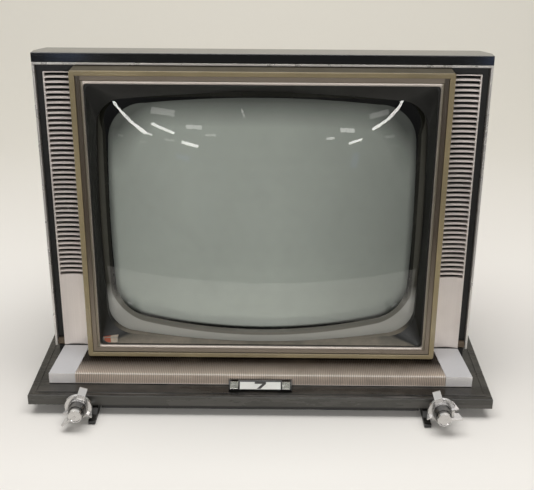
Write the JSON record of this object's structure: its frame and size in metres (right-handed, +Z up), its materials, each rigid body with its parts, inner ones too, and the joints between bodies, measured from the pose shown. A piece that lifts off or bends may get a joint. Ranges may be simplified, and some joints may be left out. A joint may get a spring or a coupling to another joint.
{
  "type": "table television set",
  "caption": "Table television set with a large picture tube, louvred side columns, a ribbed silver deck on a black plinth and twin finned chrome control knobs.",
  "frame": {"origin": "on the surface the set stands on, midway across it and midway between the knob noses and the cup over the tube's neck", "axes": "+X to the right as seen from the front, +Y from the screen towards the back, +Z up"},
  "size_m": [0.5634, 0.424, 0.426],
  "materials": {
    "black_gloss": "gloss",
    "black_satin": "satin",
    "hardboard": "matt",
    "chrome": "polished",
    "silver": "brushed satin",
    "cloth": "matt weave",
    "brown_moulding": "matt",
    "steel": "satin",
    "amber_acrylic": "gloss, yellowed",
    "grey_frame": "satin",
    "mask_black": "satin",
    "badge_enamel": "gloss",
    "clear_glass": "polished, grey tint",
    "phosphor": "matt",
    "graphite_glass": "matt graphite coat",
    "socket_brown": "satin",
    "lead_rubber": "satin",
    "ferrite": "matt",
    "copper": "enamelled",
    "champagne": "brushed satin",
    "white_label": "satin",
    "dark_paint": "satin",
    "cone_paper": "matt",
    "knob_black": "satin"
  },
  "bodies": {
    "set": {"top_panel": "black_gloss", "right_side_panel": "black_satin", "left_side_panel": "black_satin", "riser": "black_satin", "baffle": "hardboard", "front_surround": "black_satin", "chrome_trim": "chrome", "grille_right": "silver", "grille_left": "silver", "grille_cloths": "cloth", "back_cover": "brown_moulding", "screws": "steel", "bezel_rim": "amber_acrylic", "bezel_frame": "grey_frame", "bezel_trim": "chrome", "screen_mask": "mask_black", "badge": "badge_enamel", "safety_panel": "clear_glass", "tube_faceplate": "clear_glass", "phosphor_screen": "phosphor", "tube_funnel": "graphite_glass", "tube_neck": "clear_glass", "electron_gun": "steel", "tube_base": "socket_brown", "tube_socket": "socket_brown", "implosion_band": "steel", "anode_lead": "lead_rubber", "yoke_core": "ferrite", "yoke_coils": "copper", "plinth": "black_satin", "sub_base": "black_satin", "runner_right": "black_satin", "runner_left": "black_satin", "deck_ribbed": "champagne", "deck_cap_right": "silver", "deck_cap_left": "silver", "label_housing": "black_gloss", "label_plate": "white_label", "shaft_bushes": "black_satin", "volume_control": "steel", "channel_tuner": "steel", "chassis_pan": "steel", "valves": "clear_glass", "power_transformer": "dark_paint", "flyback_transformer": "ferrite", "speaker_basket": "dark_paint", "speaker_cone": "cone_paper", "hold_controls": "steel", "ac_inlet": "socket_brown", "antenna_board": "socket_brown"},
    "volume": {"volume_knob": "chrome"},
    "contrast": {"contrast_knob": "chrome"},
    "channel": {"channel_knob": "chrome"},
    "fine_tuning": {"fine_tuning_knob": "chrome"},
    "left_key": {"key_left": "black_gloss"},
    "right_key": {"key_right": "black_gloss"},
    "vertical_hold": {"vertical_hold_knob": "knob_black"},
    "horizontal_hold": {"horizontal_hold_knob": "knob_black"},
    "front_ring": {"centring_ring_front": "ferrite"},
    "rear_ring": {"centring_ring_rear": "ferrite"}
  },
  "joints": [
    {"name": "volume_turn", "type": "hinge", "parent": "set", "child": "volume", "pos_m": [-0.217, -0.19, 0.0225], "axis": [0, 1, 0], "range_deg": [-150, 150]},
    {"name": "contrast_turn", "type": "hinge", "parent": "set", "child": "contrast", "pos_m": [-0.217, -0.19, 0.0225], "axis": [0, 1, 0], "range_deg": [-150, 150]},
    {"name": "channel_turn", "type": "hinge", "parent": "set", "child": "channel", "pos_m": [0.217, -0.19, 0.0225], "axis": [0, 1, 0], "continuous": true},
    {"name": "fine_tuning_turn", "type": "hinge", "parent": "set", "child": "fine_tuning", "pos_m": [0.217, -0.19, 0.0225], "axis": [0, 1, 0], "continuous": true},
    {"name": "left_key_press", "type": "slide", "parent": "set", "child": "left_key", "axis": [0, 1, 0], "range_m": [0, 0.0025], "stiffness_N_per_m": 300, "springref_m": -0.0015},
    {"name": "right_key_press", "type": "slide", "parent": "set", "child": "right_key", "axis": [0, 1, 0], "range_m": [0, 0.0025], "stiffness_N_per_m": 300, "springref_m": -0.0015},
    {"name": "vertical_hold_turn", "type": "hinge", "parent": "set", "child": "vertical_hold", "pos_m": [-0.026, 0.155, 0.096], "axis": [0, 1, 0], "range_deg": [-150, 150]},
    {"name": "horizontal_hold_turn", "type": "hinge", "parent": "set", "child": "horizontal_hold", "pos_m": [0.026, 0.155, 0.096], "axis": [0, 1, 0], "range_deg": [-150, 150]},
    {"name": "front_ring_turn", "type": "hinge", "parent": "set", "child": "front_ring", "pos_m": [0, 0.12, 0.2245], "axis": [0, 1, 0], "continuous": true},
    {"name": "rear_ring_turn", "type": "hinge", "parent": "set", "child": "rear_ring", "pos_m": [0, 0.1245, 0.2245], "axis": [0, 1, 0], "continuous": true}
  ]
}
